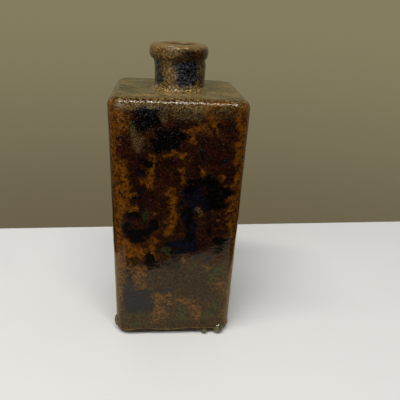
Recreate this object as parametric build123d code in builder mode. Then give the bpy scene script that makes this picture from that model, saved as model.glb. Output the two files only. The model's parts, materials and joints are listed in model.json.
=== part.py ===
"""A tall square flask of glazed stoneware, hand-built from slabs of clay.

Four mitred wall slabs stand on a floor slab and carry a shoulder slab. Coils of clay are pressed into the
inside seams. A thrown collar is let into the shoulder, sealed by a coil round its foot, and finished by a
coil wrapped round its top as a lip. A coat of glaze covers the outside down to a line just above the foot,
and has gathered into glassy drops near the ground.

All sizes are in millimetres. The origin is the centre of the underside, and the front faces -Y.
"""

import os
from math import pi, tan

from build123d import *

# Body, bare clay
foot_width = 112.2
shoulder_width = 118.4
body_height = 235.2
wall_thickness = 7.0
floor_thickness = 8.0
shoulder_thickness = 8.5
corner_radius = 13.1
foot_edge_radius = 4.6
shoulder_edge_radius = 6.9

# Coils pressed into the inside seams
seam_coil_radius = 5.0

# Collar, as walls around its bore, and the coil round its foot
bore_radius = 15.5
tenon_wall = 3.2
neck_wall = 6.4
neck_height = 26.6
neck_shift = 1.0
neck_coil_size = 3.6
neck_coil_hollow = 0.8
mouth_rounding = 2.4

# Lip, around a thinner seat at the collar's top
lip_seat_wall = 3.2
lip_overhang = 3.2
lip_shift = -1.4
lip_height = 12.4
lip_bevel = 3.4
lip_lower_rounding = 3.0
lip_upper_rounding = 4.6

# Glaze
glaze_thickness = 0.8
glaze_line_height = 4.8

# Glaze drops: two that stand at the front edge, and a long one on the left face, each at its distance
# from the body's nearest corner
bead_radius = 5.8
bead_middle = 5.3
bead_from_corner = 10.4
bead_sink_share = 0.3
small_bead_radius = 3.3
small_bead_middle = 3.0
small_bead_from_corner = 24.4
small_bead_sink_share = 0.05
left_drop_radius = 5.0
left_drop_half_height = 8.2
left_drop_middle = 10.4
left_drop_from_corner = 10.1
left_drop_sink_share = 0.4

# Sizes that follow from those above
ceiling_height = body_height - shoulder_thickness
tenon_radius = bore_radius + tenon_wall
neck_radius = bore_radius + neck_wall
neck_coil_radius = neck_radius + neck_coil_size
lip_seat_radius = bore_radius + lip_seat_wall
lip_radius = neck_radius + lip_overhang
lip_underside = body_height + neck_height
lip_top = lip_underside + lip_height
overrun = shoulder_width

neck_plane = Plane(origin=(neck_shift, 0, 0), x_dir=(1, 0, 0), z_dir=(0, -1, 0))
neck_axis = Axis((neck_shift, 0, 0), (0, 0, 1))
lip_plane = Plane(origin=(neck_shift + lip_shift, 0, 0), x_dir=(1, 0, 0), z_dir=(0, -1, 0))
lip_axis = Axis((neck_shift + lip_shift, 0, 0), (0, 0, 1))


def width_at(height):
    """The clay body's outside width at a height above the foot."""
    return foot_width + (shoulder_width - foot_width) * height / body_height


def outside(growth):
    """The flask's whole outside as one closed solid, grown by a thickness everywhere but underneath."""
    shoulder = body_height + growth
    # How far a 45 degree face's end moves along its neighbour as both grow.
    slant_growth = growth * tan(pi / 8)
    with BuildPart() as flask:
        with BuildSketch():
            Rectangle(foot_width + 2 * growth, foot_width + 2 * growth)
        with BuildSketch(Plane.XY.offset(shoulder)):
            Rectangle(shoulder_width + 2 * growth, shoulder_width + 2 * growth)
        loft()
        standing_edges = flask.edges().filter_by(lambda edge: abs(edge.tangent_at(0).Z) > 0.5)
        fillet(standing_edges, corner_radius + growth)
        fillet(flask.faces().sort_by(Axis.Z)[-1].edges(), shoulder_edge_radius + growth)
        fillet(flask.faces().sort_by(Axis.Z)[0].edges(), foot_edge_radius)

        # The neck's foot flares onto the shoulder in a hollow arc, the face of the coil there.
        flare_foot = Vector(neck_coil_radius + slant_growth, shoulder)
        flare_top = Vector(neck_radius + growth, body_height + neck_coil_size + slant_growth)
        flare_middle = (flare_foot + flare_top) / 2 - Vector(1, 1).normalized() * neck_coil_hollow
        with BuildSketch(neck_plane):
            with BuildLine():
                ThreePointArc(flare_foot, flare_middle, flare_top)
                Line(flare_top, (flare_top.X, lip_underside + lip_bevel))
                Line((flare_top.X, lip_underside + lip_bevel), (0, lip_underside + lip_bevel))
                Line((0, lip_underside + lip_bevel), (0, ceiling_height))
                Line((0, ceiling_height), (flare_foot.X, ceiling_height))
                Line((flare_foot.X, ceiling_height), flare_foot)
            make_face()
        revolve(axis=neck_axis)

        # The lip is bevelled below and rounded at both of its outer corners.
        with BuildSketch(lip_plane) as lip_section:
            with BuildLine():
                Polyline(
                    (0, lip_underside - growth),
                    (lip_radius - lip_bevel + slant_growth, lip_underside - growth),
                    (lip_radius + growth, lip_underside + lip_bevel - slant_growth),
                    (lip_radius + growth, lip_top + growth),
                    (0, lip_top + growth),
                    close=True,
                )
            make_face()
            lower_corner = lip_section.vertices().group_by(Axis.X)[-1].sort_by(Axis.Y)[0]
            fillet(lower_corner, lip_lower_rounding + growth)
            upper_corner = lip_section.vertices().group_by(Axis.Y)[-1].sort_by(Axis.X)[-1]
            fillet(upper_corner, lip_upper_rounding + growth)
        revolve(axis=lip_axis)
    return flask.part


os.makedirs("parts", exist_ok=True)

clay_outside = outside(0)

# The hollow inside the body

with BuildPart() as cavity:
    for height in (floor_thickness, ceiling_height):
        with BuildSketch(Plane.XY.offset(height)):
            Rectangle(width_at(height) - 2 * wall_thickness, width_at(height) - 2 * wall_thickness)
    loft()

# Floor slab

with BuildPart() as floor_slab:
    add(clay_outside)
    split(bisect_by=Plane.XY.offset(floor_thickness), keep=Keep.BOTTOM)

floor_slab.part.label = "floor_slab"
export_step(floor_slab.part, "parts/floor_slab.step")

# Wall slabs, mitred where they meet: the front one is made first, and the others are turned copies of it

with BuildPart() as front_wall:
    with BuildSketch(Plane.XY.offset(floor_thickness)):
        Polygon((0, 0), (-overrun, -overrun), (overrun, -overrun), align=None)
    extrude(amount=ceiling_height - floor_thickness)
    add(clay_outside, mode=Mode.INTERSECT)
    add(cavity.part, mode=Mode.SUBTRACT)

for turn, side in enumerate(("front", "right", "back", "left")):
    with BuildPart() as wall:
        add(front_wall.part, rotation=(0, 0, 90 * turn))
    wall.part.label = f"{side}_wall"
    export_step(wall.part, f"parts/{side}_wall.step")

# Shoulder slab, pierced for the collar's tenon

with BuildPart() as shoulder_slab:
    add(clay_outside)
    split(bisect_by=Plane.XY.offset(ceiling_height), keep=Keep.TOP)
    split(bisect_by=Plane.XY.offset(body_height), keep=Keep.BOTTOM)
    with BuildSketch(Plane((neck_shift, 0, ceiling_height))):
        Circle(tenon_radius)
    extrude(amount=shoulder_thickness, mode=Mode.SUBTRACT)

shoulder_slab.part.label = "shoulder_slab"
export_step(shoulder_slab.part, "parts/shoulder_slab.step")

# Coil pressed round the floor's inside edge

with BuildPart() as floor_seam_coil:
    half = width_at(floor_thickness) / 2 - wall_thickness
    with BuildLine(Plane.XY.offset(floor_thickness)):
        Polyline((0, -half), (half, -half), (half, half), (-half, half), (-half, -half), (0, -half))
    with BuildSketch(Plane(origin=(0, -half, floor_thickness), x_dir=(0, 1, 0), z_dir=(1, 0, 0))):
        Circle(seam_coil_radius)
    sweep(transition=Transition.RIGHT)
    add(cavity.part, mode=Mode.INTERSECT)

floor_seam_coil.part.label = "floor_seam_coil"
export_step(floor_seam_coil.part, "parts/floor_seam_coil.step")

# Coil pressed up each inside corner: the front right one, and turned copies of it

with BuildPart() as corner_coil:
    for height in (floor_thickness, ceiling_height):
        half = width_at(height) / 2 - wall_thickness
        with BuildSketch(Plane.XY.offset(height)):
            with Locations((half, -half)):
                Circle(seam_coil_radius)
    loft()
    add(cavity.part, mode=Mode.INTERSECT)
    add(floor_seam_coil.part, mode=Mode.SUBTRACT)

for turn, corner in enumerate(("front_right", "back_right", "back_left", "front_left")):
    with BuildPart() as seam_coil:
        add(corner_coil.part, rotation=(0, 0, 90 * turn))
    seam_coil.part.label = f"{corner}_seam_coil"
    export_step(seam_coil.part, f"parts/{corner}_seam_coil.step")

# Collar: a tenon in the shoulder, the neck's wall above it, and the thinner seat of the lip

with BuildPart() as neck_collar:
    with BuildSketch(neck_plane) as collar_section:
        with BuildLine():
            Polyline(
                (bore_radius, ceiling_height),
                (tenon_radius, ceiling_height),
                (tenon_radius, body_height),
                (neck_radius, body_height),
                (neck_radius, lip_underside),
                (lip_seat_radius, lip_underside),
                (lip_seat_radius, lip_top),
                (bore_radius, lip_top),
                close=True,
            )
        make_face()
        mouth_corner = collar_section.vertices().group_by(Axis.Y)[-1].sort_by(Axis.X)[0]
        fillet(mouth_corner, mouth_rounding)
    revolve(axis=neck_axis)
    add(clay_outside, mode=Mode.INTERSECT)

neck_collar.part.label = "neck_collar"
export_step(neck_collar.part, "parts/neck_collar.step")

# Coil that seals the collar's foot to the shoulder

with BuildPart() as neck_coil:
    with BuildSketch(Plane((neck_shift, 0, body_height))):
        Circle(neck_coil_radius)
        Circle(neck_radius, mode=Mode.SUBTRACT)
    extrude(amount=neck_coil_size)
    add(clay_outside, mode=Mode.INTERSECT)

neck_coil.part.label = "neck_coil"
export_step(neck_coil.part, "parts/neck_coil.step")

# Lip coil, wrapped round the seat at the collar's top

with BuildPart() as lip_coil:
    add(clay_outside)
    split(bisect_by=Plane.XY.offset(lip_underside), keep=Keep.TOP)
    with BuildSketch(Plane((neck_shift, 0, lip_underside))):
        Circle(lip_seat_radius)
    extrude(amount=lip_height, mode=Mode.SUBTRACT)

lip_coil.part.label = "lip_coil"
export_step(lip_coil.part, "parts/lip_coil.step")

# Glaze coat, from the inner edge of the lip down to the line above the foot

with BuildPart() as glazed_outside:
    add(outside(glaze_thickness))
    split(bisect_by=Plane.XY.offset(glaze_line_height), keep=Keep.TOP)

with BuildPart() as glaze_coat:
    add(glazed_outside.part)
    add(clay_outside, mode=Mode.SUBTRACT)
    with BuildSketch(Plane((neck_shift, 0, lip_underside))):
        Circle(bore_radius + mouth_rounding)
    extrude(amount=overrun, mode=Mode.SUBTRACT)

glaze_coat.part.label = "glaze_coat"
export_step(glaze_coat.part, "parts/glaze_coat.step")

# Glaze drops, moulded against the clay and the coat, and cut flat where they met the ground

foot_face = foot_width / 2
bead_middle_point = (
    foot_face - bead_from_corner,
    bead_radius * bead_sink_share - foot_face,
    bead_middle,
)
small_bead_middle_point = (
    foot_face - small_bead_from_corner,
    small_bead_radius * small_bead_sink_share - foot_face,
    small_bead_middle,
)
left_drop_middle_point = (
    left_drop_radius * left_drop_sink_share - foot_face,
    left_drop_from_corner - foot_face,
    left_drop_middle,
)
glaze_drops = (
    ("right_glaze_bead", bead_middle_point, bead_radius, bead_radius),
    ("small_glaze_bead", small_bead_middle_point, small_bead_radius, small_bead_radius),
    ("left_glaze_drop", left_drop_middle_point, left_drop_radius, left_drop_half_height),
)

for name, middle, radius, half_height in glaze_drops:
    with BuildPart() as glaze_drop:
        with BuildSketch(Plane(origin=middle, x_dir=(1, 0, 0), z_dir=(0, -1, 0))):
            with BuildLine():
                Spline((0, -half_height), (radius, 0), (0, half_height), tangents=((1, 0), (-1, 0)))
                Line((0, half_height), (0, -half_height))
            make_face()
        revolve(axis=Axis(middle, (0, 0, 1)))
        split(bisect_by=Plane.XY, keep=Keep.TOP)
        add(glazed_outside.part, mode=Mode.SUBTRACT)
        add(clay_outside, mode=Mode.SUBTRACT)
    glaze_drop.part.label = name
    export_step(glaze_drop.part, f"parts/{name}.step")
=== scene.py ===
import json
import math
import random

import bpy
import numpy as np
from mathutils import Matrix, Vector, noise


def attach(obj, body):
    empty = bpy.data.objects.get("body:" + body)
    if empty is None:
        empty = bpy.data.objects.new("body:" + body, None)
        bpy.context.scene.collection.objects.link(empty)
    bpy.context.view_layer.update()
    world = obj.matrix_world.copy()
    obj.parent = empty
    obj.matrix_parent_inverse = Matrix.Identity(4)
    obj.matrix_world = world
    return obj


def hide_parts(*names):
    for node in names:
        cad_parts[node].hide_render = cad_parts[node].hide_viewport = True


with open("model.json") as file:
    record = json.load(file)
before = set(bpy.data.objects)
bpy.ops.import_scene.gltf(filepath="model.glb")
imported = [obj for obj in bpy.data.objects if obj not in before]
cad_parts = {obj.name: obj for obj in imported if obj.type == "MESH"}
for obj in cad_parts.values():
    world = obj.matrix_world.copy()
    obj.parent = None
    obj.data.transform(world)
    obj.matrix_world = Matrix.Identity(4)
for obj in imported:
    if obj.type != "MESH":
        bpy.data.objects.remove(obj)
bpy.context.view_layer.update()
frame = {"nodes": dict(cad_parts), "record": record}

# Camera
# It is held 0.42 m in front of the flask's middle, a little higher than the mouth and left of it,
# and looks down on the flask with a slight tilt, as a camera in the hands does.
camera_place = Vector((-0.01992, -0.41773, 0.30345))
camera_turn = math.radians(6.317)
camera_dip = math.radians(23.202)
camera_tilt = math.radians(3.171)

ahead = Vector((
    math.sin(camera_turn) * math.cos(camera_dip),
    math.cos(camera_turn) * math.cos(camera_dip),
    -math.sin(camera_dip),
))
level = Vector((math.cos(camera_turn), -math.sin(camera_turn), 0))
above = level.cross(ahead)
across = math.cos(camera_tilt) * level + math.sin(camera_tilt) * above
upward = -math.sin(camera_tilt) * level + math.cos(camera_tilt) * above
camera_axes = Matrix((across, upward, -ahead)).transposed().to_4x4()

camera_lens = bpy.data.cameras.new("camera")
camera_lens.lens = 40.10
camera_lens.sensor_width = 36.0
camera_lens.clip_start = 0.01
camera = bpy.data.objects.new("camera", camera_lens)
camera.matrix_world = Matrix.Translation(camera_place) @ camera_axes
bpy.context.collection.objects.link(camera)
bpy.context.scene.camera = camera
bpy.context.scene.view_settings.view_transform = "Standard"

# Clay body
# Fourteen slabs, coils and rings of dark stoneware, pressed together wet and fired into one body.
# They show in the bare band below the glaze, and inside the mouth, where ash pales them and
# painted light lifts the shade of the bore.


class Flow:
    """One socket in a node tree: sums with it add their nodes, and node() adds any other."""

    def __init__(self, tree, socket=None):
        self.tree = tree
        self.socket = socket

    def node(self, kind, settings, sockets, output=0):
        made = self.tree.nodes.new(kind)
        for name, value in settings.items():
            setattr(made, name, value)
        for name, value in sockets.items():
            if isinstance(value, Flow):
                self.tree.links.new(value.socket, made.inputs[name])
            else:
                made.inputs[name].default_value = value
        return Flow(self.tree, made.outputs[output] if made.outputs else None)

    def maths(self, operation, first, second):
        return self.node("ShaderNodeMath", {"operation": operation}, {0: first, 1: second})

    def __add__(self, other):
        return self.maths("ADD", self, other)

    def __radd__(self, other):
        return self.maths("ADD", other, self)

    def __sub__(self, other):
        return self.maths("SUBTRACT", self, other)

    def __rsub__(self, other):
        return self.maths("SUBTRACT", other, self)

    def __mul__(self, other):
        return self.maths("MULTIPLY", self, other)

    def __rmul__(self, other):
        return self.maths("MULTIPLY", other, self)

    def greater(self, other):
        return self.maths("MAXIMUM", self, other)

    def lesser(self, other):
        return self.maths("MINIMUM", self, other)

    def unsigned(self):
        return self.maths("ABSOLUTE", self, 0.0)

    def axis(self, name):
        """This place's measure along X, Y or Z."""
        return self.node("ShaderNodeSeparateXYZ", {}, {0: self}, name)

    def rise(self, low, high):
        """0 below low and 1 above high, smooth between them; low may be the greater of the two."""
        if low > high:
            return 1 - self.rise(high, low)
        return self.node("ShaderNodeMapRange", {"interpolation_type": "SMOOTHSTEP"},
                         {0: self, 1: low, 2: high, 3: 0.0, 4: 1.0})

    def between(self, none, full):
        """The colour none where this is 0, and full where it is 1."""
        return self.node("ShaderNodeMix", {"data_type": "RGBA"}, {0: self, 6: none, 7: full}, 2)

    def specks(self, size, detail=2.0, roughness=0.5, shift=0.0):
        """Soft noise round 0.5 at this place, with spots about as large as size."""
        shifts = (shift, shift, shift)
        moved = self.node("ShaderNodeVectorMath", {"operation": "ADD"}, {0: self, 1: shifts})
        sockets = {"Vector": moved, "Scale": 1 / size, "Detail": detail, "Roughness": roughness}
        return moved.node("ShaderNodeTexNoise", {}, sockets, "Fac")

    def bump(self, depth):
        return self.node("ShaderNodeBump", {}, {"Height": self, "Strength": 1.0, "Distance": depth})


def tint(red, green, blue):
    """A colour by its eight-bit values, turned into light."""
    light = []
    for value in (red, green, blue):
        share = value / 255
        light.append(share / 12.92 if share <= 0.04045 else ((share + 0.055) / 1.055) ** 2.4)
    return (*light, 1.0)


def new_material(name):
    """A material with an empty node tree, that tree, and the place on the piece in metres."""
    material = bpy.data.materials.new(name)
    material.use_nodes = True
    material.node_tree.nodes.clear()
    flow = Flow(material.node_tree)
    return material, flow, flow.node("ShaderNodeTexCoord", {}, {}, "Object")


def finish_material(flow, sockets):
    shader = flow.node("ShaderNodeBsdfPrincipled", {}, sockets, "BSDF")
    flow.node("ShaderNodeOutputMaterial", {}, {"Surface": shader})


clay_dark, clay_brown = tint(26, 18, 11), tint(56, 38, 23)
ashy_clay_painted_lighter, ashiest_clay_painted_lighter = tint(150, 126, 88), tint(172, 148, 108)
grit_tint, iron_spot_tint = tint(88, 64, 42), tint(18, 12, 9)
ash_and_painted_light_from, ash_and_painted_light_full = 0.262, 0.271

clay, clay_flow, clay_place = new_material("fired dark clay")
cloud = clay_place.specks(0.012, detail=3.0)
cloudy = cloud.rise(0.35, 0.7)
grit = clay_place.specks(0.0011, detail=3.0, roughness=0.6)
iron_spots = clay_place.specks(0.0022, detail=1.0, shift=0.31).rise(0.63, 0.72)
clay_colour = cloudy.between(clay_dark, clay_brown)
clay_colour = (grit.rise(0.45, 0.75) * 0.45).between(clay_colour, grit_tint)
clay_colour = (iron_spots * 0.8).between(clay_colour, iron_spot_tint)
# Near the mouth the clay turns pale: ash, and painted light lifting the shade inside the bore.
near_mouth = clay_place.axis("Z").rise(ash_and_painted_light_from, ash_and_painted_light_full) * 0.85
clay_colour = near_mouth.between(clay_colour, cloudy.between(ashy_clay_painted_lighter, ashiest_clay_painted_lighter))
finish_material(clay_flow, {
    "Base Color": clay_colour,
    "Roughness": 0.72 + 0.2 * grit,
    "Normal": (grit + 0.6 * cloud).bump(0.0003),
})

for record_piece in frame["record"]["subparts"]:
    if record_piece["material_slot"] == "clay":
        for slot in frame["nodes"][record_piece["node"]].material_slots:
            slot.material = clay

# Glaze
# One coat of amber glass over foliage painted on the raw clay in iron, cobalt and a little copper.
# It was dipped, ran down in the kiln, and stopped in a thick rolled edge just above the foot.
millimetre = 0.001

# The clay's outside, in millimetres like all sizes of the coat.
foot_half = 56.1
shoulder_half = 59.2
body_top = 235.2
corner_radius = 13.1
shoulder_rounding = 6.9
foot_rounding = 4.6

# The neck and lip in section, as radius and height, from the shoulder to the mouth's inner edge.
neck_section = [
    (25.9, 235.2), (24.6, 235.7), (23.4, 236.8), (22.6, 238.6), (22.5, 242.0), (22.5, 247.0),
    (22.5, 252.0), (22.5, 257.0), (22.5, 260.2), (22.7, 261.5), (23.8, 262.3), (25.1, 263.8),
    (25.7, 266.0), (25.8, 268.5), (25.6, 270.6), (24.4, 272.7), (22.4, 273.9), (19.7, 274.2),
    (17.9, 274.2), (16.7, 273.9), (15.95, 273.2), (15.6, 272.3),
]
neck_radius = 22.5

# How far right of the flask's middle the neck, the lip and the bore stand, and from where and over
# what length the lip's place takes over from the neck's, going up, and the bore's, going inwards.
neck_middle = 1.6
lip_middle = 0.2
bore_middle = 1.0
lip_from, lip_over = 257.0, 6.0
bore_from, bore_over = 22.0, -5.3

# The coat: its depth, how far that swells, and the height of its lower edge, which runs in waves
# given as how many go round, how high they are and where their noise starts.
glaze_depth = 0.5
glaze_swell = 0.22
thinnest, thickest = 0.18, 0.79
highest = 274.98
edge_height, edge_lowest, edge_highest = 5.3, 3.8, 7.4
edge_waves = [(3.1, 2.6, 0.4), (11.0, 0.7, 2.7)]

# The rows from the lower edge up to the height where they run level, and the rolled edge's depth at
# each. At the mouth the last rows fade out.
foot_steps = [0.0, 0.25, 0.6, 1.1, 1.7, 2.4, 3.2, 4.4, 6.0, 8.0, 10.0]
foot_steps_end = 11.5
level_height = 16.0
foot_ring_height = 4.8
rolled_edge = [0.0, 0.35, 0.72, 1.1, 1.32, 1.28, 1.1, 0.9, 0.72, 0.6, 0.52]
roll_least, roll_share = 0.75, 0.5
mouth_fade = [0.75, 0.45, 0.1]

front_columns = 62
side_columns = 44
corner_columns = 6
WALL, SHOULDER, NECK = 0, 1, 2


def ramp(value, start, over):
    """0 up to start and 1 from start plus over on; over may be negative."""
    return np.clip((value - start) / over, 0, 1)


def half_width(height):
    return foot_half + (shoulder_half - foot_half) * height / body_top


# The columns of the mesh run up the flask: for each, its side, its share of the way along the flat
# from the middle, and its turn round the corner.
columns = []
for side in range(4):
    flat_columns = front_columns if side == 0 else side_columns
    for step in range(corner_columns):
        columns.append((side, -1.0, -math.pi / 4 * (1 - step / corner_columns)))
    for step in range(flat_columns):
        columns.append((side, -1.0 + 2.0 * step / flat_columns, 0.0))
    for step in range(corner_columns):
        columns.append((side, 1.0, math.pi / 4 * step / corner_columns))
column_count = len(columns)
column_side = np.array([column[0] for column in columns])
column_share = np.array([column[1] for column in columns])
column_turn = np.array([column[2] for column in columns])
side_angle = column_side * math.pi / 2


def square_ring(half, rounding):
    """A rounded square seen from above, each point given with its distance along its own side."""
    flat = half - rounding
    along = column_share * flat + rounding * np.sin(column_turn)
    out = flat + rounding * np.cos(column_turn)
    x = along * np.cos(side_angle) + out * np.sin(side_angle)
    y = along * np.sin(side_angle) - out * np.cos(side_angle)
    return np.stack([x, y], axis=1), column_share * flat + rounding * column_turn


ring_at_shoulder = square_ring(shoulder_half, corner_radius)[0]
column_angle = np.arctan2(ring_at_shoulder[:, 0], -ring_at_shoulder[:, 1])


def round_ring(middle, radius):
    x = middle + radius * np.sin(column_angle)
    return np.stack([x, -radius * np.cos(column_angle)], axis=1)


def smooth_line(points, spacing):
    """Points at even steps on a smooth line through the given ones."""
    line = []
    for number in range(len(points) - 1):
        before = np.array(points[max(number - 1, 0)])
        start = np.array(points[number])
        end = np.array(points[number + 1])
        after = np.array(points[min(number + 2, len(points) - 1)])
        steps = max(1, round(float(np.linalg.norm(end - start)) / spacing))
        for step in range(steps):
            t = step / steps
            line.append(0.5 * (2 * start + (end - before) * t
                               + (2 * before - 5 * start + 4 * end - after) * t ** 2
                               + (3 * start - before - 3 * end + after) * t ** 3))
    line.append(np.array(points[-1]))
    return line


def section_middle(radius, height):
    """The lip sits a little left of the neck, and the mouth's edge keeps to the bore."""
    middle = neck_middle + (lip_middle - neck_middle) * ramp(height, lip_from, lip_over)
    return middle + (bore_middle - middle) * ramp(radius, bore_from, bore_over)


def lower_edge():
    """The height at which the coat stopped, for each column."""
    edge = []
    for angle in column_angle:
        height = edge_height
        for count, swing, start in edge_waves:
            spot = Vector((math.sin(angle) * count, math.cos(angle) * count, start))
            height += swing * noise.noise(spot)
        edge.append(height)
    return np.clip(edge, edge_lowest, edge_highest)


def make_rings(steps, body_rows, bend_rows, shoulder_rows, neck_spacing):
    """The coat's rings on the clay from foot to mouth: their points, way along, way up and zone."""
    rings = []

    def add_ring(flat_ring, height, along, up, zone):
        points = np.column_stack([flat_ring, np.broadcast_to(height, column_count)])
        rings.append((points, along, np.broadcast_to(up, column_count), zone))

    edge = lower_edge()
    wide, along = square_ring(half_width(foot_ring_height), corner_radius)
    for step in steps:
        height = edge + step * (level_height - edge) / foot_steps_end
        under = np.maximum(foot_rounding ** 2 - (foot_rounding - height) ** 2, 0)
        inset = np.where(height < foot_rounding, foot_rounding - np.sqrt(under), 0.0)
        narrowing = (half_width(height) - inset) / half_width(foot_ring_height)
        add_ring(wide * narrowing[:, None], height, along, height, WALL)

    bend_start = body_top - shoulder_rounding
    for row in range(body_rows):
        height = level_height + (bend_start - level_height) * row / body_rows
        wide, along = square_ring(half_width(height), corner_radius)
        add_ring(wide, height, along, height, WALL)
    for row in range(bend_rows):
        bend = math.pi / 2 * row / bend_rows
        inset = shoulder_rounding * (1 - math.cos(bend))
        height = body_top - shoulder_rounding * (1 - math.sin(bend))
        wide, along = square_ring(shoulder_half - inset, corner_radius - inset)
        add_ring(wide, height, along, bend_start + shoulder_rounding * bend, WALL)

    wide, along = square_ring(shoulder_half - shoulder_rounding, corner_radius - shoulder_rounding)
    narrow = round_ring(neck_middle, neck_section[0][0])
    for row in range(shoulder_rows):
        flat_ring = wide + (narrow - wide) * (row / shoulder_rows)
        add_ring(flat_ring, body_top, along, body_top, SHOULDER)
    for radius, height in smooth_line(neck_section, neck_spacing):
        flat_ring = round_ring(section_middle(radius, height), radius)
        add_ring(flat_ring, height, column_angle * neck_radius, height, NECK)
    return rings


rings = make_rings(foot_steps, body_rows=132, bend_rows=9, shoulder_rows=17, neck_spacing=1.1)
clay_points, along_points, up_points, zones = [np.array(part) for part in zip(*rings)]
ring_count = len(rings)
on_wall, on_shoulder, on_neck = [
    np.broadcast_to((zones == zone)[:, None], up_points.shape) for zone in (WALL, SHOULDER, NECK)
]

# The coat stands off the clay along its outward direction, by a depth that swells and thins. Its
# painting strays from the brush's path. Both go by noise: size of its spots, height and start.
swell_waves = [(21.0, 1.3, (0, 0, 0)), (6.5, 0.3, (7, 3, 1)), (2.9, 0.12, (1, 8, 5))]
swell_limit = 1.3
along_reach, along_waves = 1.4, [(9.0, 3.0, (9.3, 1.7, 4.1)), (4.2, 2.6, (2.6, 9.3, 0.4))]
up_reach, up_waves = 1.0, [(9.0, 3.0, (5.1, 1.7, 4.1)), (4.2, 2.6, (2.6, 5.1, 0.4))]


def sway(spot, waves):
    return sum(swing * noise.noise(spot / size + Vector(start)) for size, swing, start in waves)


around = np.roll(clay_points, -1, axis=1) - np.roll(clay_points, 1, axis=1)
up = np.gradient(clay_points, axis=0)
outward = np.cross(around, up)
outward /= np.maximum(np.linalg.norm(outward, axis=2, keepdims=True), 1e-9)

depth = np.zeros((ring_count, column_count))
stray_along = np.zeros((ring_count, column_count))
stray_up = np.zeros((ring_count, column_count))
for ring_number in range(ring_count):
    for column_number in range(column_count):
        spot = Vector(clay_points[ring_number, column_number])
        swell = max(-swell_limit, min(swell_limit, sway(spot, swell_waves)))
        depth[ring_number, column_number] = glaze_depth + glaze_swell * swell
        stray_along[ring_number, column_number] = along_reach * sway(spot, along_waves)
        stray_up[ring_number, column_number] = up_reach * sway(spot, up_waves)
depth = np.clip(depth, thinnest, thickest)
for row, roll in enumerate(rolled_edge):
    depth[row] = roll * (roll_least + roll_share * depth[row])
for row, share in enumerate(mouth_fade):
    depth[row - len(mouth_fade)] *= share

# A little more of it stands in the crease under the lip.
crease_height, crease_spread, crease_depth = 261.2, 0.8, 0.2
crease = np.exp(-((clay_points[:, :, 2] - crease_height) / crease_spread) ** 2) * crease_depth
depth += np.where(on_neck, crease, 0.0)

coat_points = clay_points + outward * depth[:, :, None]
coat_points[:, :, 2] = np.minimum(coat_points[:, :, 2], highest)
widest = shoulder_half + thickest
coat_points[:, :, :2] = np.clip(coat_points[:, :, :2], -widest, widest)

# Its inner side lies on the clay and shows nowhere, so few rings are enough for it.
inner_rings = make_rings([0.0, 3.0], body_rows=6, bend_rows=4, shoulder_rows=2, neck_spacing=4.0)
inner_points = np.array([ring[0] for ring in inner_rings])[1:-1]
all_points = np.concatenate([coat_points.reshape(-1, 3), inner_points.reshape(-1, 3)]) * millimetre
coat_faces = []


def join_rings(lower, upper, flip=False):
    """Faces between two rings, each given by the number of its first point."""
    for number in range(column_count):
        after = (number + 1) % column_count
        quad = (lower + number, lower + after, upper + after, upper + number)
        coat_faces.append(quad[::-1] if flip else quad)


for ring_number in range(ring_count - 1):
    join_rings(ring_number * column_count, (ring_number + 1) * column_count)
inner_starts = [(ring_count + number) * column_count for number in range(len(inner_points))]
for lower, upper in zip([0, *inner_starts], [*inner_starts, (ring_count - 1) * column_count]):
    join_rings(lower, upper, True)

coat_mesh = bpy.data.meshes.new("glaze")
coat_mesh.from_pydata(all_points.tolist(), [], coat_faces)
coat_mesh.shade_smooth()
glaze = bpy.data.objects.new("glaze", coat_mesh)
bpy.context.collection.objects.link(glaze)

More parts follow.
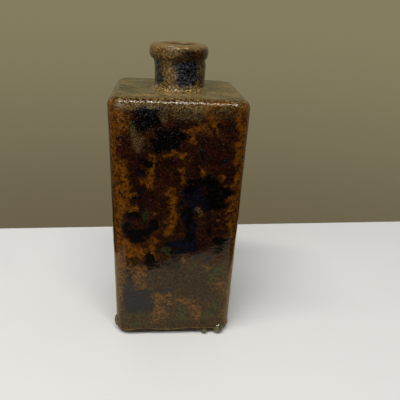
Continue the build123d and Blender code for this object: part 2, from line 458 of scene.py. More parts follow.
# The front's brush strokes, by layer, in millimetres across the face from its middle and up from
# the foot: start, its radius, end, its radius.
front_strokes = {
    "iron": [
        (-31, 189, 2, -25, 187, 1.7), (16, 189, 2, 17, 171, 2.1), (-19, 149, 1.7, -14, 142, 1.5),
        (-49, 190, 2.2, -46, 187, 2), (26, 214, 1.6, 29, 210, 1.6), (-48, 201, 3.3, -45, 199, 2.5),
        (-38, 222, 1.9, -36, 217, 2.4), (-40, 187, 3.4, -31, 183, 4.2),
        (-38, 181, 2.5, -28, 182, 3.1), (-19, 211, 1.6, -18, 209, 1.2),
        (-2, 215, 1.2, 14, 215, 1.6), (37, 231, 1.5, 38, 224, 1.9), (42, 215, 2.4, 47, 205, 2.7),
        (33, 216, 1.6, 38, 212, 1.9), (25, 199, 4.1, 37, 199, 4.4), (24, 191, 4.7, 37, 190, 5.9),
        (23, 185, 3.4, 36, 181, 4.2), (31, 174, 2.3, 40, 176, 2.3), (41, 198, 1.9, 43, 190, 1.4),
        (14, 180, 2.5, 14, 167, 3.1), (53, 182, 1.4, 43, 166, 2), (43, 177, 2.8, 47, 173, 2.3),
        (-20, 179, 1.3, -14, 183, 1.5), (-14, 183, 1.5, -1, 181, 1.7),
        (-15, 175, 2.8, -12, 170, 2.6), (-2, 178, 1.8, 1, 170, 1.9), (-12, 164, 2, 1, 165, 1.9),
        (-37, 166, 2.9, -32, 157, 3.5), (-31, 157, 3.6, -24, 145, 3.4),
        (-20, 142, 1.5, -19, 132, 1.8), (-23, 156, 2.3, -18, 131, 2.5),
        (-36, 149, 2.2, -31, 143, 2.5), (-31, 141, 2.3, -29, 127, 2.5),
        (-18, 133, 3, -10, 128, 2.4), (-41, 132, 3.9, -32, 129, 3.6),
        (-38, 121, 5.7, -31, 120, 5.4), (-18, 149, 1.5, -14, 142, 1.3), (-11, 142, 1.2, -5, 144, 1),
        (29, 131, 2.7, 31, 118, 3), (30, 118, 3, 27, 106, 2.4), (35, 132, 1.5, 48, 133, 1.5),
        (35, 122, 1.8, 48, 129, 1.5), (37, 115, 1.8, 45, 116, 1.4), (20, 130, 2.1, 24, 116, 2.1),
        (21, 103, 2.1, 30, 97, 2.1), (-1, 78, 0.9, 10, 74, 0.9), (-16, 113, 1.7, -13, 111, 1.4),
        (18, 75, 1.1, 23, 76, 0.9), (21, 89, 0.8, 26, 88, 0.8), (-24, 69, 4.1, 26, 72, 5.4),
        (-19, 61, 4.8, 28, 58, 6.4), (7, 51, 2.9, 33, 46, 4.2), (-2, 51, 2.1, -1, 41, 1.8),
        (34, 32, 1.6, 41, 23, 2), (-11, 14, 1.5, 35, 12, 1.5), (-51, 169, 0.9, -48, 151, 0.9),
        (-54, 32, 1.6, -50, 14, 2.2), (-42, 178, 1.4, -35, 174, 1.4),
        (-28, 196, 1.4, -29, 192, 1.4),
    ],
    "black": [
        (-44, 124, 1.8, -41, 114, 2), (-38, 115, 1.8, -31, 115, 1.8),
        (-33, 224, 2.4, -20, 227, 2.5), (-26, 222, 3.5, -17, 222, 3.5),
        (-31, 217, 3.2, -20, 217, 3), (-33, 213, 2.3, -31, 211, 2.3), (-15, 205, 4.4, -1, 206, 4.7),
        (-19, 199, 2.8, -5, 197, 2.8), (-18, 197, 2.2, -17, 194, 1.4), (-1, 206, 3.3, 5, 206, 1.2),
        (-29, 182, 2.2, -27, 181, 2), (32, 155, 6.1, 37, 151, 5.8), (33, 145, 4.4, 39, 146, 3.5),
        (22, 164, 3.2, 34, 164, 3.7), (27, 170, 1.4, 30, 165, 3.2), (40, 161, 2.3, 44, 157, 1.2),
        (41, 151, 2.9, 47, 157, 0.9), (9, 157, 2.6, 15, 159, 2.3), (-41, 133, 2.1, -32, 131, 1.8),
        (-29, 116, 2.3, -20, 125, 2.2), (-39, 112, 1.7, -30, 112, 2.1),
        (-35, 109, 1.8, -29, 107, 1.4), (9, 140, 2.1, 13, 126, 2.1), (11, 123, 1.8, 11, 111, 1.8),
        (36, 100, 2.1, 47, 107, 1.2), (38, 109, 2, 44, 103, 2.4), (36, 98, 1.7, 44, 96, 1.5),
        (-26, 97, 0.8, -23, 89, 1.7), (-23, 89, 2, -23, 77, 2.7), (-13, 80, 3, -2, 81, 3.3),
        (-4, 87, 2, -1, 92, 1.4), (-3, 97, 1.4, -3, 92, 1.5), (1, 83, 1.4, -1, 77, 1.1),
        (-22, 77, 1.3, -13, 77, 1.3), (30, 118, 2, 31, 115, 2), (13, 165, 1.7, 19, 166, 2),
    ],
    "cobalt": [
        (8, 156, 2.9, 19, 156, 3.8), (8, 148, 3.1, 13, 148, 3.2), (15, 148, 3.8, 28, 149, 3.5),
        (14, 143, 2.9, 17, 137, 2.9), (25, 145, 2, 26, 139, 1.9), (43, 156, 1.4, 45, 155, 1),
        (9, 135, 2.4, 14, 126, 2.5), (14, 122, 3, 12, 111, 3), (-8, 104, 2.6, -2, 103, 2.7),
        (3, 104, 3.4, 15, 105, 3.7), (4, 98, 2.8, 16, 98, 3.1), (20, 194, 1.2, 20, 190, 1.3),
        (41, 185, 1.3, 42, 184, 1.1), (-20, 199, 1.7, -19, 196, 1.7), (-12, 198, 1.2, -4, 198, 1.2),
        (-32, 157, 1.3, -32, 154, 1.3), (-36, 150, 1.2, -35, 149, 1),
        (-46, 124, 1.3, -43, 121, 1.3), (27, 171, 1.4, 30, 165, 1.9), (-43, 49, 4.2, -27, 48, 4.2),
        (-44, 41, 4.9, -26, 41, 4.9), (-41, 33, 4.6, -29, 34, 4.6), (-43, 72, 1.4, -43, 57, 2.1),
        (-16, 53, 1.6, -2, 53, 1.9), (20, 92, 2, 19, 89, 2), (31, 89, 1.9, 32, 85, 1.5),
        (-32, 177, 1.3, -33, 173, 1.1), (-4, 209, 1.4, 0, 208, 1.1),
    ],
    "copper": [
        (-43, 218, 1.8, -35, 210, 1.9), (-28, 140, 0.9, -27, 127, 1), (13, 126, 1.3, 15, 124, 1.3),
        (21, 163, 1.7, 31, 164, 1.7), (17, 88, 2.2, 15, 77, 2.2), (34, 71, 3.1, 47, 79, 3.1),
        (39, 71, 2.5, 45, 73, 2.2), (6, 33, 3.3, 8, 22, 4), (40, 37, 3.1, 40, 29, 2.8),
        (29, 20, 3.1, 37, 24, 3.5), (-40, 13, 2, -25, 12, 2.3), (-11, 100, 2.6, -6, 95, 2.6),
        (38, 229, 1.2, 40, 224, 1.5), (33, 67, 1.6, 37, 55, 1.6), (-42, 26, 2.6, -26, 23, 3),
    ],
    "ochre": [
        (-43, 158, 2.6, -39, 150, 2.2), (-45, 81, 2.5, -41, 74, 2.5), (6, 205, 1.8, 11, 202, 1.8),
        (-34, 97, 2.5, -29, 95, 1.8), (-51, 225, 4.5, -47, 214, 4.9),
        (-53, 210, 3.3, -51, 200, 3.6), (-52, 198, 2.5, -55, 185, 2.5),
        (-50, 183, 4.5, -45, 164, 4.3), (-53, 163, 4, -47, 141, 5), (-54, 140, 3.2, -51, 108, 4.3),
        (-44, 137, 2.6, -35, 139, 2.4), (-44, 105, 4.6, -40, 93, 4.6), (-36, 98, 3.7, -34, 92, 2.8),
        (23, 231, 2.9, 36, 233, 2.4), (4, 211, 2.5, 29, 213, 3.5), (22, 227, 2.9, 29, 218, 3.2),
        (23, 213, 1.4, 28, 211, 1.4), (49, 229, 2.7, 52, 204, 3), (52, 201, 2.5, 52, 170, 2.8),
        (52, 168, 3.1, 47, 162, 2.6), (50, 149, 2.9, 48, 132, 3), (-23, 188, 2, -25, 164, 3.7),
        (-8, 190, 2.2, 3, 190, 2), (-6, 157, 2.3, -2, 133, 3.3), (-1, 132, 3, -4, 128, 2.7),
        (-6, 126, 3, -7, 117, 2.7), (-19, 142, 1.8, -20, 134, 1.8), (-23, 105, 2.7, -20, 91, 2.8),
        (-22, 111, 1.2, -17, 107, 1.2), (20, 179, 1.1, 20, 171, 1.1), (39, 175, 1.3, 41, 168, 1),
        (46, 137, 2.1, 51, 144, 2.6), (50, 127, 2.7, 54, 111, 3), (36, 130, 1.3, 48, 131, 1.2),
        (7, 91, 1.2, 7, 83, 1.2), (-33, 78, 3.8, -33, 61, 3.8), (27, 76, 1.9, 30, 77, 1.9),
        (-53, 91, 4, -53, 46, 4.5), (-17, 44, 3.2, -3, 45, 3.6), (-16, 38, 4.2, -15, 20, 5.3),
        (-7, 43, 3.2, -2, 39, 2.9), (5, 40, 2.6, 17, 39, 2.8), (20, 31, 4.2, 24, 22, 4.6),
        (44, 62, 2.9, 54, 43, 3.2), (49, 24, 2.3, 52, 16, 2.3), (2, 179, 1.8, 6, 165, 1.7),
        (-30, 165, 2.3, -26, 156, 1.7),
    ],
    "manganese": [
        (-24, 151, 1.3, -18, 139, 1.3), (-15, 157, 1, -13, 142, 0.9), (6, 165, 0.9, 4, 152, 0.9),
        (-48, 195, 1.8, -48, 189, 1.8), (-9, 218, 1.5, -6, 212, 1.5), (-41, 183, 2, -33, 181, 1.7),
        (5, 195, 1.5, 10, 190, 1.8), (-14, 175, 2, -12, 170, 1.8), (-24, 144, 1.5, -22, 125, 1.5),
        (-31, 152, 1.2, -24, 144, 1.3), (12, 199, 1.4, 16, 197, 1.2), (21, 204, 1.9, 38, 203, 1.9),
        (28, 192, 3.1, 40, 189, 2.8), (39, 185, 2, 43, 183, 2), (29, 177, 2, 40, 179, 1.8),
        (44, 213, 1.9, 48, 204, 1.9), (31, 229, 1.1, 29, 224, 1.1), (-37, 222, 1.6, -33, 217, 1.9),
        (-46, 111, 1.7, -42, 113, 1.4), (-35, 124, 1.6, -31, 120, 1.8),
        (30, 118, 2.1, 33, 112, 2.1), (26, 110, 1.4, 39, 111, 1.8), (20, 125, 1.5, 24, 116, 1.4),
        (-17, 84, 2.8, -11, 81, 2.5), (-4, 81, 1.7, -2, 81, 1.7), (36, 103, 1.8, 40, 96, 1.8),
        (-6, 37, 2.1, 4, 20, 2), (-5, 51, 1.9, 1, 44, 1.6), (18, 47, 2.3, 34, 42, 2.6),
        (-17, 165, 1.4, -19, 159, 1.2), (-12, 165, 1.7, -2, 165, 1.7), (-1, 186, 1.3, 2, 179, 1.3),
        (41, 132, 1.2, 48, 127, 1.2),
    ],
    "ash": [
        (10, 223, 1.9, 15, 218, 1.9), (-37, 210, 2.4, -35, 203, 3.6), (-35, 203, 3.6, -33, 196, 3),
        (-8, 228, 2.7, 20, 229, 2.9), (-4, 222, 2.1, 10, 222, 2.2), (-14, 222, 1.6, -12, 219, 1.6),
        (-49, 229, 1.9, -20, 231, 1.6), (16, 141, 1.2, 20, 132, 1.5), (10, 227, 3.2, 18, 223, 2.1),
    ],
}

layers = list(front_strokes)
brush = random.Random(11)


def sprig(strokes, layer, across_face, up_face, reach, leaves, lean):
    """Leaves that spread from one point, as a loaded brush leaves them."""
    spread, waver = 0.75, 0.2
    root_share, root_width, tip_width = 0.15, 0.30, 0.13
    for number in range(leaves):
        turn = lean + (number - (leaves - 1) / 2) * spread + brush.uniform(-waver, waver)
        tip = reach * brush.uniform(0.7, 1.15)
        root = root_share * tip
        strokes[layer].append((
            across_face + root * math.cos(turn), up_face + root * math.sin(turn),
            reach * root_width,
            across_face + tip * math.cos(turn), up_face + tip * math.sin(turn),
            reach * tip_width,
        ))


def painted_side():
    """A stem up the middle of a face, with sprigs to its left and right by turns."""
    stem_foot, stem_height, stem_radius = 30, 185, 2.0
    sprig_height, last_sprig, last_copper = 24, 226, 95
    strokes = {layer: [] for layer in layers}
    lean_over = brush.uniform(-8, 8)
    stem = []
    for share in (0, 0.25, 0.5, 0.75, 1):
        stem.append((brush.uniform(-14, 14) + lean_over * share, stem_foot + stem_height * share))
    for (x0, z0), (x1, z1) in zip(stem, stem[1:]):
        strokes["iron"].append((x0, z0, stem_radius, x1, z1, stem_radius))
    hand = 1
    while sprig_height < last_sprig:
        middle = hand * brush.uniform(14, 32)
        layer = brush.choice(["iron", "iron", "black", "black", "cobalt"])
        sprig(strokes, layer, middle, sprig_height,
              brush.uniform(13, 20), brush.choice([4, 5, 6]), brush.uniform(0.6, 2.5))
        sprig(strokes, brush.choice(["iron", "black"]), middle + brush.uniform(-6, 6), sprig_height,
              brush.uniform(7, 11), 4, brush.uniform(2.5, 6))
        if sprig_height < last_copper:
            strokes["copper"].append((middle - 10 * hand, sprig_height + 8, 3.4,
                                      middle - 16 * hand, sprig_height - 2, 3.8))
        strokes["ochre"].append((-middle, sprig_height + 6, 4.5,
                                 -middle + 6 * hand, sprig_height - 8, 5.0))
        sprig_height += brush.uniform(15, 22)
        hand = -hand
    for x0, z0, r0, x1, z1, r1 in strokes["iron"][::3]:
        strokes["manganese"].append((x0 + 3, z0, r0 * 0.5, x1 + 3, z1 - 3, r1 * 0.5))
    return strokes


side_strokes = [front_strokes, painted_side(), painted_side(), painted_side()]

# On the neck the strokes are broad upright panels, placed by the way round it from its front.
neck_strokes = {
    "iron": [
        (-34, 262, 1.6, 0, 262.3, 1.5), (0, 262.3, 1.7, 34, 262, 1.8), (4, 264.5, 2.4, 24, 265, 3),
        (9, 268.5, 2.4, 27, 268, 2.6), (20, 258, 2.5, 19, 243, 3), (34, 246, 3, 33, 260, 3),
        (-52, 250, 8, -48, 262, 8), (60, 266, 5, 66, 252, 6),
    ],
    "black": [
        (-27, 257, 6.0, -26, 247, 6.2), (1.5, 256.5, 5, 1.5, 247, 5.6),
        (9, 257, 4.6, 9, 246.5, 4.8), (50, 260, 7, 52, 248, 8), (-58, 262, 7, -56, 248, 8),
    ],
    "cobalt": [
        (3, 257, 3, 7, 253, 4), (15.5, 255, 3.4, 15, 245, 4.4), (-27, 252, 3.2, -27, 246, 3.6),
        (2, 269, 2.4, 6, 267, 2.4),
    ],
    "manganese": [
        (5, 266, 4.4, 40, 266, 4.6), (-6, 263, 1.5, 30, 263.5, 2), (21, 260, 3, 23, 256, 3.4),
        (23, 256, 3.4, 23, 244, 3.4),
    ],
    "copper": [
        (-24, 246, 2, -22, 243, 2),
    ],
    "ochre": [
        (-11, 260, 4.6, -11, 243, 4), (-34, 267, 7, -14, 267, 6), (36, 256, 3, 36, 244, 3),
    ],
    "ash": [
        (-12, 260, 5, -9.5, 243, 4.8), (-36, 268, 5, -2, 268, 4.4), (-40, 273, 2.2, 40, 273, 2.2),
        (-40, 238, 2.6, 40, 238, 2.6), (29, 254, 3, 29, 242, 3.4),
    ],
}

# Beyond this many radii from every stroke of a layer, none of that layer's colour is left.
bare = 3.0


def stroke_field(across_face, up_face, strokes, shifts=(0,)):
    """How far each place is from the nearest stroke, in that stroke's radii."""
    field = np.full(across_face.shape, bare)
    for x0, z0, r0, x1, z1, r1 in strokes:
        dx, dz = x1 - x0, z1 - z0
        for shift in shifts:
            from_x, from_z = across_face - x0 - shift, up_face - z0
            share = np.clip((from_x * dx + from_z * dz) / max(dx * dx + dz * dz, 0.01), 0, 1)
            gap = np.hypot(from_x - share * dx, from_z - share * dz)
            field = np.minimum(field, gap / (r0 + (r1 - r0) * share))
    return field


def lay_on(name, field, inside):
    """Write a field on the coat's outer points for its material to read, and inside on the rest."""
    values = np.full(len(all_points), inside)
    values[:ring_count * column_count] = field.ravel()
    attribute = coat_mesh.attributes.new(name, "FLOAT", "POINT")
    attribute.data.foreach_set("value", values)


# The corners are rubbed to a bare gold, and the dark layers stop short of them.
gold_corner = ramp(np.abs(along_points), start=48, over=6) * on_wall
bare_corner = ramp(np.abs(along_points), start=53, over=8) * on_wall
around_neck = 2 * math.pi * neck_radius
for layer in layers:
    field = np.full((ring_count, column_count), bare)
    for side in range(4):
        on_side = on_wall & (column_side == side)
        facing = -1 if side in (1, 3) else 1
        across_side = facing * (along_points + stray_along)[on_side]
        field[on_side] = stroke_field(across_side, (up_points + stray_up)[on_side],
                                      side_strokes[side][layer])
    if layer == "ochre":
        field = np.minimum(field, bare - 2.3 * gold_corner)
    if layer in ("iron", "black", "cobalt"):
        field += 1.2 * bare_corner
    field[on_neck] = stroke_field((along_points + 0.5 * stray_along)[on_neck],
                                  (up_points + 0.3 * stray_up)[on_neck],
                                  neck_strokes[layer], (-around_neck, 0, around_neck))
    lay_on(layer, np.minimum(field, bare), bare)

# Four more measures: how much dust of ash the coat holds, which also carries a painted highlight
# along the rolled lower edge and painted glints on the lip's left, how coarse its skin is, where
# the streaky shoulder is, and where the ash is palest, in front of the neck and on the lip.
# Painted highlight: the share of light specks that draws a bright line along the rolled lower edge.
painted_highlight_on_edge = 0.5
shoulder_field = on_shoulder * 1.0
on_lip = ramp(up_points, start=262, over=2) * on_neck
lip_right = ramp(clay_points[:, :, 0], start=-6, over=8)

dust_on_wall = 0.62 * ramp(up_points, start=218, over=20) ** 1.6
dust_on_neck = 0.65 + 0.6 * ramp(up_points, start=243, over=-5)
dust_on_neck -= 0.1 * ramp(up_points, start=262, over=3)
dust_and_highlight_field = on_wall * dust_on_wall + shoulder_field + on_neck * dust_on_neck
# Painted highlight: the rows of the rolled lower edge get light specks, a bright line on the roll.
dust_and_highlight_field[2:5] = painted_highlight_on_edge
# Painted highlight: more light specks on the lip's left stand in for its glints.
dust_and_highlight_field += 0.2 * (1 - lip_right) * on_lip

coarse_on_wall = 0.07 + 0.6 * ramp(up_points, start=130, over=80)
coarse_on_wall -= 0.36 * ramp(up_points, start=227, over=3)
coarse_on_top = 0.85
coarse_field = np.where(on_wall, coarse_on_wall, coarse_on_top) - (0.2 + 0.3 * lip_right) * on_lip

pale_y, pale_wide, pale_deep = -38, 30, 15
pale_x_share = clay_points[:, :, 0] / pale_wide
pale_y_share = (clay_points[:, :, 1] - pale_y) / pale_deep
pale_field = shoulder_field * np.exp(-pale_x_share ** 2 - pale_y_share ** 2)
pale_field += on_neck * ramp(up_points, start=270.5, over=2.5)
for name, field in (("dust", dust_and_highlight_field), ("coarse", coarse_field),
                    ("shoulder", shoulder_field), ("pale", pale_field)):
    lay_on(name, np.minimum(field, 1), 0.0)

# The colours, as the thin and the thick of each layer, what they turn to low down as a painted
# reflection of the pale shelf, and their spots.
amber_thin, amber_thick, amber_dark = tint(27, 11, 3), tint(53, 24, 4), tint(19, 8, 3)
amber_grain, amber_blot = tint(100, 51, 10), tint(16, 7, 4)
amber_reflected_thin, amber_reflected_thick = tint(12, 8, 4), tint(74, 52, 22)
gold_thin, gold_thick, gold_grain = tint(38, 18, 3), tint(128, 74, 5), tint(136, 86, 19)
gold_reflected_thin, gold_reflected_thick = tint(42, 27, 9), tint(118, 82, 40)
black_halo, cobalt_halo = tint(18, 7, 4), tint(15, 9, 7)
iron_dark, iron_red, iron_reflected = tint(4, 2, 2), tint(35, 11, 6), tint(40, 26, 15)
manganese_dark, manganese_red, manganese_reflected = tint(6, 2, 4), tint(56, 17, 14), tint(60, 43, 38)
copper_dark, copper_green = tint(20, 27, 11), tint(46, 64, 27)
cobalt_dark, cobalt_blue = tint(2, 3, 9), tint(14, 17, 31)
cobalt_reflected_dark, cobalt_reflected_blue = tint(4, 13, 24), tint(13, 28, 47)
black_deep, black_worn = tint(1, 1, 1), tint(15, 15, 15)
ash_dark, ash_tan = tint(40, 28, 14), tint(122, 102, 62)
fleck_light_and_glint, fleck_dark = tint(104, 84, 58), tint(8, 5, 4)
slip_dark, slip_olive, slip_tan = tint(28, 24, 9), tint(74, 69, 35), tint(122, 93, 50)
slip_streak, slip_pale, slip_gap = tint(118, 106, 65), tint(184, 158, 110), tint(40, 28, 10)
brown_of_dust_and_highlight, dust_gap = tint(104, 76, 38), tint(30, 20, 10)
speck_of_dust_and_highlight, dust_speck_on_black = tint(176, 150, 88), tint(100, 105, 120)
lip_dark, lip_pale = tint(108, 86, 54), tint(140, 118, 82)

coat, coat_flow, coat_place = new_material("amber glaze over painting")
patches = coat_place.specks(0.014)
blots = coat_place.specks(0.0052, detail=3.0, roughness=0.6, shift=0.17)
curdle = coat_place.specks(0.0027, detail=4.0, roughness=0.72, shift=0.41)
grain = coat_place.specks(0.0012, detail=3.0, roughness=0.7, shift=0.73)
ragged = (blots - 0.5) * 1.3 + (curdle - 0.5) * 1.7 + (grain - 0.5) * 1.2
# Painted reflection: low down the colours turn greyer, as the pale shelf mirrored in the glaze.
painted_reflection_low_down = coat_place.axis("Z").rise(0.096, 0.070)


def measure(name):
    return coat_flow.node("ShaderNodeAttribute", {"attribute_name": name}, {}, "Fac")


def layer_mask(layer, reach, softness):
    """1 under the layer's strokes and 0 beyond them, ragged and soft between."""
    return (measure(layer) + ragged).rise(reach + softness, reach - softness)


# The amber itself, and the gold where the ochre under it shines through.
amber = patches.rise(0.35, 0.65).between(amber_thin, amber_thick)
amber = curdle.rise(0.38, 0.60).between(amber_dark, amber)
amber = (grain.rise(0.52, 0.66) * 0.45).between(amber, amber_grain)
amber = (blots.rise(0.52, 0.66) * 0.75).between(amber, amber_blot)
amber_reflected = curdle.rise(0.36, 0.64).between(amber_reflected_thin, amber_reflected_thick)
amber = (painted_reflection_low_down * 0.7).between(amber, amber_reflected)
gold = curdle.rise(0.37, 0.60).between(gold_thin, gold_thick)
gold = (grain.rise(0.54, 0.66) * 0.5).between(gold, gold_grain)
gold_reflected = curdle.rise(0.38, 0.62).between(gold_reflected_thin, gold_reflected_thick)
gold = (painted_reflection_low_down * 0.75).between(gold, gold_reflected)
gilded = layer_mask("ochre", reach=1.15, softness=1.05)
colour = (gilded * 0.8).between(amber, gold)

# The painting, from the layer laid on first to the last, over the halos of the darkest two.
black_bleed = layer_mask("black", reach=1.7, softness=0.7) * 0.65
colour = black_bleed.between(colour, black_halo)
cobalt_bleed = layer_mask("cobalt", reach=1.6, softness=0.6) * 0.65
colour = cobalt_bleed.between(colour, cobalt_halo)
open_spots = 1 - 0.6 * curdle.rise(0.54, 0.64)
iron = grain.rise(0.38, 0.62).between(iron_dark, painted_reflection_low_down.between(iron_red, iron_reflected))
ironed = layer_mask("iron", reach=1.25, softness=0.7) * 0.92 * open_spots
colour = ironed.between(colour, iron)
manganese = painted_reflection_low_down.between(manganese_red, manganese_reflected)
manganese = curdle.rise(0.38, 0.60).between(manganese_dark, manganese)
stained = layer_mask("manganese", reach=1.1, softness=0.7)
colour = (stained * 0.8).between(colour, manganese)
copper = curdle.rise(0.36, 0.64).between(copper_dark, copper_green)
colour = (layer_mask("copper", reach=1.1, softness=0.9) * 0.7).between(colour, copper)
cobalt_shade = painted_reflection_low_down.between(cobalt_dark, cobalt_reflected_dark)
cobalt_light = painted_reflection_low_down.between(cobalt_blue, cobalt_reflected_blue)
cobalt = curdle.rise(0.4, 0.65).between(cobalt_shade, cobalt_light)
blued = layer_mask("cobalt", reach=1.3, softness=0.5)
colour = (blued * 0.95).between(colour, cobalt)
black = grain.rise(0.5, 0.75).between(black_deep, black_worn)
blackened = layer_mask("black", reach=1.3, softness=0.45)
colour = (blackened * 0.97).between(colour, black)
ash = grain.rise(0.4, 0.62).between(ash_dark, ash_tan)
colour = (layer_mask("ash", reach=1.0, softness=0.9) * 0.55).between(colour, ash)

# Fine flecks all over, light where nothing dark is painted and dark everywhere. The light ones are
# also painted glints of the pitted glaze, and both kinds grow low down in the painted reflection.
flecks = coat_place.specks(0.0008, roughness=0.7, shift=0.53)
light_flecks_glints_and_reflection = flecks.rise(0.55, 0.68) * (0.14 + 0.4 * painted_reflection_low_down)
light_flecks_glints_and_reflection = light_flecks_glints_and_reflection * (1 - 0.6 * blackened) * (1 - 0.7 * blued)
colour = light_flecks_glints_and_reflection.between(colour, fleck_light_and_glint)
colour = (flecks.rise(0.47, 0.36) * (0.6 + 0.25 * painted_reflection_low_down)).between(colour, fleck_dark)

# The shoulder's pooled and streaky slip, and the dust of ash on it, on the neck and on the lip,
# whose light specks also paint a highlight along the rolled foot edge and glints on the lip's left.
pale = measure("pale")
shoulder = measure("shoulder")
off_shoulder = 1 - shoulder
dust_and_highlight = measure("dust") * (1 - 0.35 * gilded) * (1 - 0.8 * stained)
dust_and_highlight = dust_and_highlight * (0.55 + 0.6 * blots.rise(0.35, 0.65))
speckle = coat_place.specks(0.0019, detail=4.0, roughness=0.72, shift=0.27)
stretch = {0: coat_place, 1: (0.6, 1.0, 1.0)}
long_place = coat_place.node("ShaderNodeVectorMath", {"operation": "MULTIPLY"}, stretch)
pools = long_place.specks(0.017, detail=3.0, shift=0.37)
streaks = long_place.specks(0.0055, detail=4.0, roughness=0.65)
slip = pools.rise(0.40, 0.50).between(slip_dark, slip_olive)
slip = pools.rise(0.52, 0.60).between(slip, slip_tan)
slip = (streaks.rise(0.50, 0.64) * 0.4).between(slip, slip_streak)
slip = (pale * speckle.rise(0.42, 0.54) * 0.8).between(slip, slip_pale)
slip = (streaks.rise(0.48, 0.36) * 0.7).between(slip, slip_gap)
colour = (dust_and_highlight * (1 - blackened) * blots.rise(0.40, 0.60) * 0.6).between(colour, brown_of_dust_and_highlight)
colour = (shoulder * 0.92).between(colour, slip)
lip_top = curdle.rise(0.36, 0.62).between(lip_dark, lip_pale)
colour = (pale * off_shoulder * 0.75).between(colour, lip_top)
speck = (blackened * off_shoulder).between(speck_of_dust_and_highlight, dust_speck_on_black)
specked = dust_and_highlight * speckle.rise(0.47, 0.58) * (1 - 0.7 * shoulder) * (1 - 0.25 * blackened)
colour = (specked * (1 - 0.8 * pale * off_shoulder)).between(colour, speck)
colour = (dust_and_highlight * curdle.rise(0.50, 0.62) * 0.75 * (1 - 0.3 * shoulder)).between(colour, dust_gap)

coarse = measure("coarse")
skin = coat_place.specks(0.0034, detail=1.0, shift=0.9)
pits = coat_place.specks(0.0016, detail=1.0, shift=0.6)
finish_material(coat_flow, {
    "Base Color": colour,
    "Roughness": 0.055 + 0.03 * coarse + 0.05 * curdle * dust_and_highlight,
    "IOR": 1.46,
    "Normal": (coarse * (pits + 0.3 * grain + 1.2 * skin)).bump(0.0009),
})
coat_mesh.materials.append(coat)
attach(glaze, "root")
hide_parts("glaze_coat")

# Beads and drop of run glaze
# Glaze that ran past its edge and hangs there as glass: two olive beads at the front of the foot
# and a paler drop on the left side, each melted onto the coat above it.


def glass_blob(name, node, middle, radii, lean, seed, material):
    """A lump of glass, uneven, drawn up towards the coat, and flat where it meets the shelf."""
    rows, turns = 26, 36
    swell_height, swell_count = 0.10, 1.3
    shelf_gap = 0.05
    points, blob_faces = [], []
    for row in range(1, rows):
        polar = math.pi * row / rows
        for turn in range(turns):
            angle = 2 * math.pi * turn / turns
            girth = math.sin(polar)
            direction = Vector((girth * math.cos(angle), girth * math.sin(angle), math.cos(polar)))
            swell = noise.noise(direction * swell_count + Vector((seed, seed, seed)))
            size = 1 + swell_height * swell
            point = Vector([middle[axis] + radii[axis] * direction[axis] * size
                            for axis in range(3)])
            point += Vector(lean) * max(0.0, direction.z) ** 2
            point.z = max(point.z, shelf_gap)
            points.append(point * millimetre)
    top, bottom = len(points), len(points) + 1
    for pole in (Vector((middle[0], middle[1], middle[2] + radii[2])) + Vector(lean),
                 Vector((middle[0], middle[1], max(middle[2] - radii[2], shelf_gap)))):
        points.append(pole * millimetre)
    last_row = (rows - 2) * turns
    for row in range(0, last_row, turns):
        for turn in range(turns):
            after = (turn + 1) % turns
            blob_faces.append((row + turn, row + turns + turn, row + turns + after, row + after))
    for turn in range(turns):
        after = (turn + 1) % turns
        blob_faces.append((top, turn, after))
        blob_faces.append((bottom, last_row + after, last_row + turn))
    mesh = bpy.data.meshes.new(name)
    mesh.from_pydata(points, [], blob_faces)
    mesh.shade_smooth()
    mesh.materials.append(material)
    blob = bpy.data.objects.new(name, mesh)
    bpy.context.collection.objects.link(blob)
    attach(blob, "root")
    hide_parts(node)


def glass(name, thin, thick, clearness):
    material, flow, place = new_material(name)
    streaks = place.specks(0.0035)
    seeds = place.specks(0.0009, detail=1.0, shift=0.2)
    finish_material(flow, {
        "Base Color": streaks.rise(0.35, 0.65).between(thin, thick),
        "Roughness": 0.04 + 0.08 * seeds.rise(0.55, 0.8),
        "IOR": 1.5,
        "Transmission Weight": clearness,
        "Normal": streaks.bump(0.0002),
    })
    return material


olive_glass = glass("olive glass", tint(168, 168, 124), tint(116, 122, 72), clearness=0.75)
pale_glass = glass("pale glass", tint(214, 206, 176), tint(170, 160, 120), clearness=0.85)
glass_blob("right_bead", "right_glaze_bead", middle=(45.7, -54.4, 5.35), radii=(5.5, 5.4, 5.3),
           lean=(0, 0.6, 0.8), seed=2.0, material=olive_glass)
glass_blob("small_bead", "small_glaze_bead", middle=(31.7, -55.9, 3.05), radii=(3.2, 3.2, 3.0),
           lean=(0, 0.4, 0.5), seed=5.0, material=olive_glass)
glass_blob("left_drop", "left_glaze_drop", middle=(-54.1, -46.0, 10.4), radii=(4.9, 4.9, 8.0),
           lean=(0.4, 0, 0.2), seed=8.0, material=pale_glass)

# Shelf and light
# The flask stands on a pale painted board under a soft wide lamp, with a plain khaki wall's colour
# all round it. The sizes of the board and the places of the lamps are in metres.
board_half = 0.46
board_front = -0.34
board_back = 0.1885
board_skew = 0.052
board_thickness = 0.02
board_edge = 0.002

board_corners = [
    (-1, board_front, 0), (1, board_front, 0),
    (1, board_back, board_skew), (-1, board_back, board_skew),
]
board_levels = [
    (0.0, board_edge), (-board_edge, 0.0),
    (-board_thickness + board_edge, 0.0), (-board_thickness, board_edge),
]
board_points = []
for height, inset in board_levels:
    for hand, y, skew in board_corners:
        inward = inset if y < 0 else -inset
        skewed = y + hand * board_half * skew + inward
        board_points.append((hand * (board_half - inset), skewed, height))
board_faces = [(0, 1, 2, 3), (15, 14, 13, 12)]
for upper in (0, 4, 8):
    for number in range(4):
        after = (number + 1) % 4
        board_faces.append((upper + 4 + number, upper + 4 + after, upper + after, upper + number))
board_mesh = bpy.data.meshes.new("board")
board_mesh.from_pydata(board_points, [], board_faces)
board = bpy.data.objects.new("board", board_mesh)
bpy.context.collection.objects.link(board)

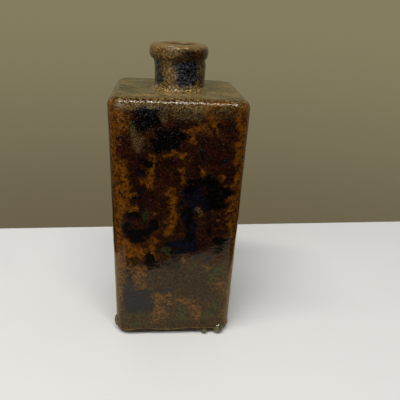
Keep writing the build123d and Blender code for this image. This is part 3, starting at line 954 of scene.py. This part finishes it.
# The glaze mirrors the board. In the photograph that mirror image is pale only near the foot, so
# for glossy rays the paint turns dark at this distance from the flask, along a square that is
# turned, bowed in front and rounded off towards its corners.
mirror_reach = 0.175
mirror_edge = 0.002
mirror_turn = math.radians(20.6)
mirror_bow, mirror_bow_middle = 0.7, 0.075
corner_reach, corner_lean = 0.25, 0.07
corner_from, corner_soft = 0.45, 0.015
paint_cool, paint_light = tint(234, 239, 244), tint(239, 244, 249)
mirrored_near, mirrored_far = tint(235, 216, 180), tint(20, 19, 18)

paint, paint_flow, paint_place = new_material("pale board paint")
turned = paint_place.node("ShaderNodeVectorRotate", {"rotation_type": "Z_AXIS"},
                          {"Vector": paint_place, "Angle": mirror_turn})
aside, away = turned.axis("X"), turned.axis("Y")
bow = mirror_bow * (aside - mirror_bow_middle) * (aside - mirror_bow_middle)
square = away.greater(0 - away - bow).greater(aside.unsigned())
east, north = paint_place.axis("X"), paint_place.axis("Y")
more = east.unsigned().greater(north.unsigned())
less = east.unsigned().lesser(north.unsigned())
diagonal = (less - corner_from * more).rise(0.0, corner_soft)
distance = paint_place.node("ShaderNodeVectorMath", {"operation": "LENGTH"},
                            {0: paint_place}, "Value")
rounded = (distance - corner_lean * east) * (mirror_reach / corner_reach)
apart = square + diagonal * (rounded - square)
in_glaze = paint_flow.node("ShaderNodeLightPath", {}, {}, "Is Glossy Ray")
too_far = apart.rise(mirror_reach - mirror_edge, mirror_reach + mirror_edge)
paint_colour = paint_place.specks(0.09).between(paint_cool, paint_light)
paint_colour = in_glaze.between(paint_colour, mirrored_near)
finish_material(paint_flow, {
    "Base Color": (in_glaze * too_far).between(paint_colour, mirrored_far),
    "Roughness": 0.55,
})
board_mesh.materials.append(paint)

# The room: khaki for the camera and through glass, dark in front of the flask as the glaze mirrors
# it, and a plain grey for the light that it throws.
wall_high, wall_low = tint(132, 125, 96), tint(105, 95, 74)
room_dark = tint(16, 15, 14)
room_grey = (0.32, 0.32, 0.315, 1.0)

world = bpy.data.worlds.new("room")
bpy.context.scene.world = world
world.use_nodes = True
world.node_tree.nodes.clear()
room_flow = Flow(world.node_tree)
seen = room_flow.node("ShaderNodeLightPath", {}, {}, "Is Camera Ray")
through_glass = room_flow.node("ShaderNodeLightPath", {}, {}, "Is Transmission Ray")
mirrored = room_flow.node("ShaderNodeLightPath", {}, {}, "Is Glossy Ray")
direction = room_flow.node("ShaderNodeTexCoord", {}, {}, "Generated")
wall = direction.axis("Z").rise(0.02, -0.5).between(wall_high, wall_low)
room = direction.axis("Y").rise(0.0, 0.6).between(room_dark, wall)
room_colour = mirrored.between(room_grey, room)
room_colour = (seen + through_glass).between(room_colour, wall)
background = room_flow.node("ShaderNodeBackground", {}, {"Color": room_colour, "Strength": 1.0})
room_flow.node("ShaderNodeOutputWorld", {}, {"Surface": background})


def soft_lamp(name, place, target, width, depth, power, colour):
    lamp = bpy.data.lights.new(name, "AREA")
    lamp.color = colour
    lamp.shape = "RECTANGLE"
    lamp.size = width
    lamp.size_y = depth
    lamp.energy = power
    aim = Vector(target) - Vector(place)
    lamp_object = bpy.data.objects.new(name, lamp)
    lamp_object.location = place
    lamp_object.rotation_euler = aim.to_track_quat("-Z", "Y").to_euler()
    bpy.context.collection.objects.link(lamp_object)


soft_lamp("ceiling lamp", place=(-0.15, -0.45, 1.45), target=(0, 0, 0.15),
          width=1.3, depth=0.13, power=14, colour=(1.0, 0.90, 0.77))
soft_lamp("front light", place=(-0.9, -1.5, 0.9), target=(0, 0, 0.12),
          width=1.2, depth=0.9, power=9, colour=(1.0, 1.0, 1.0))
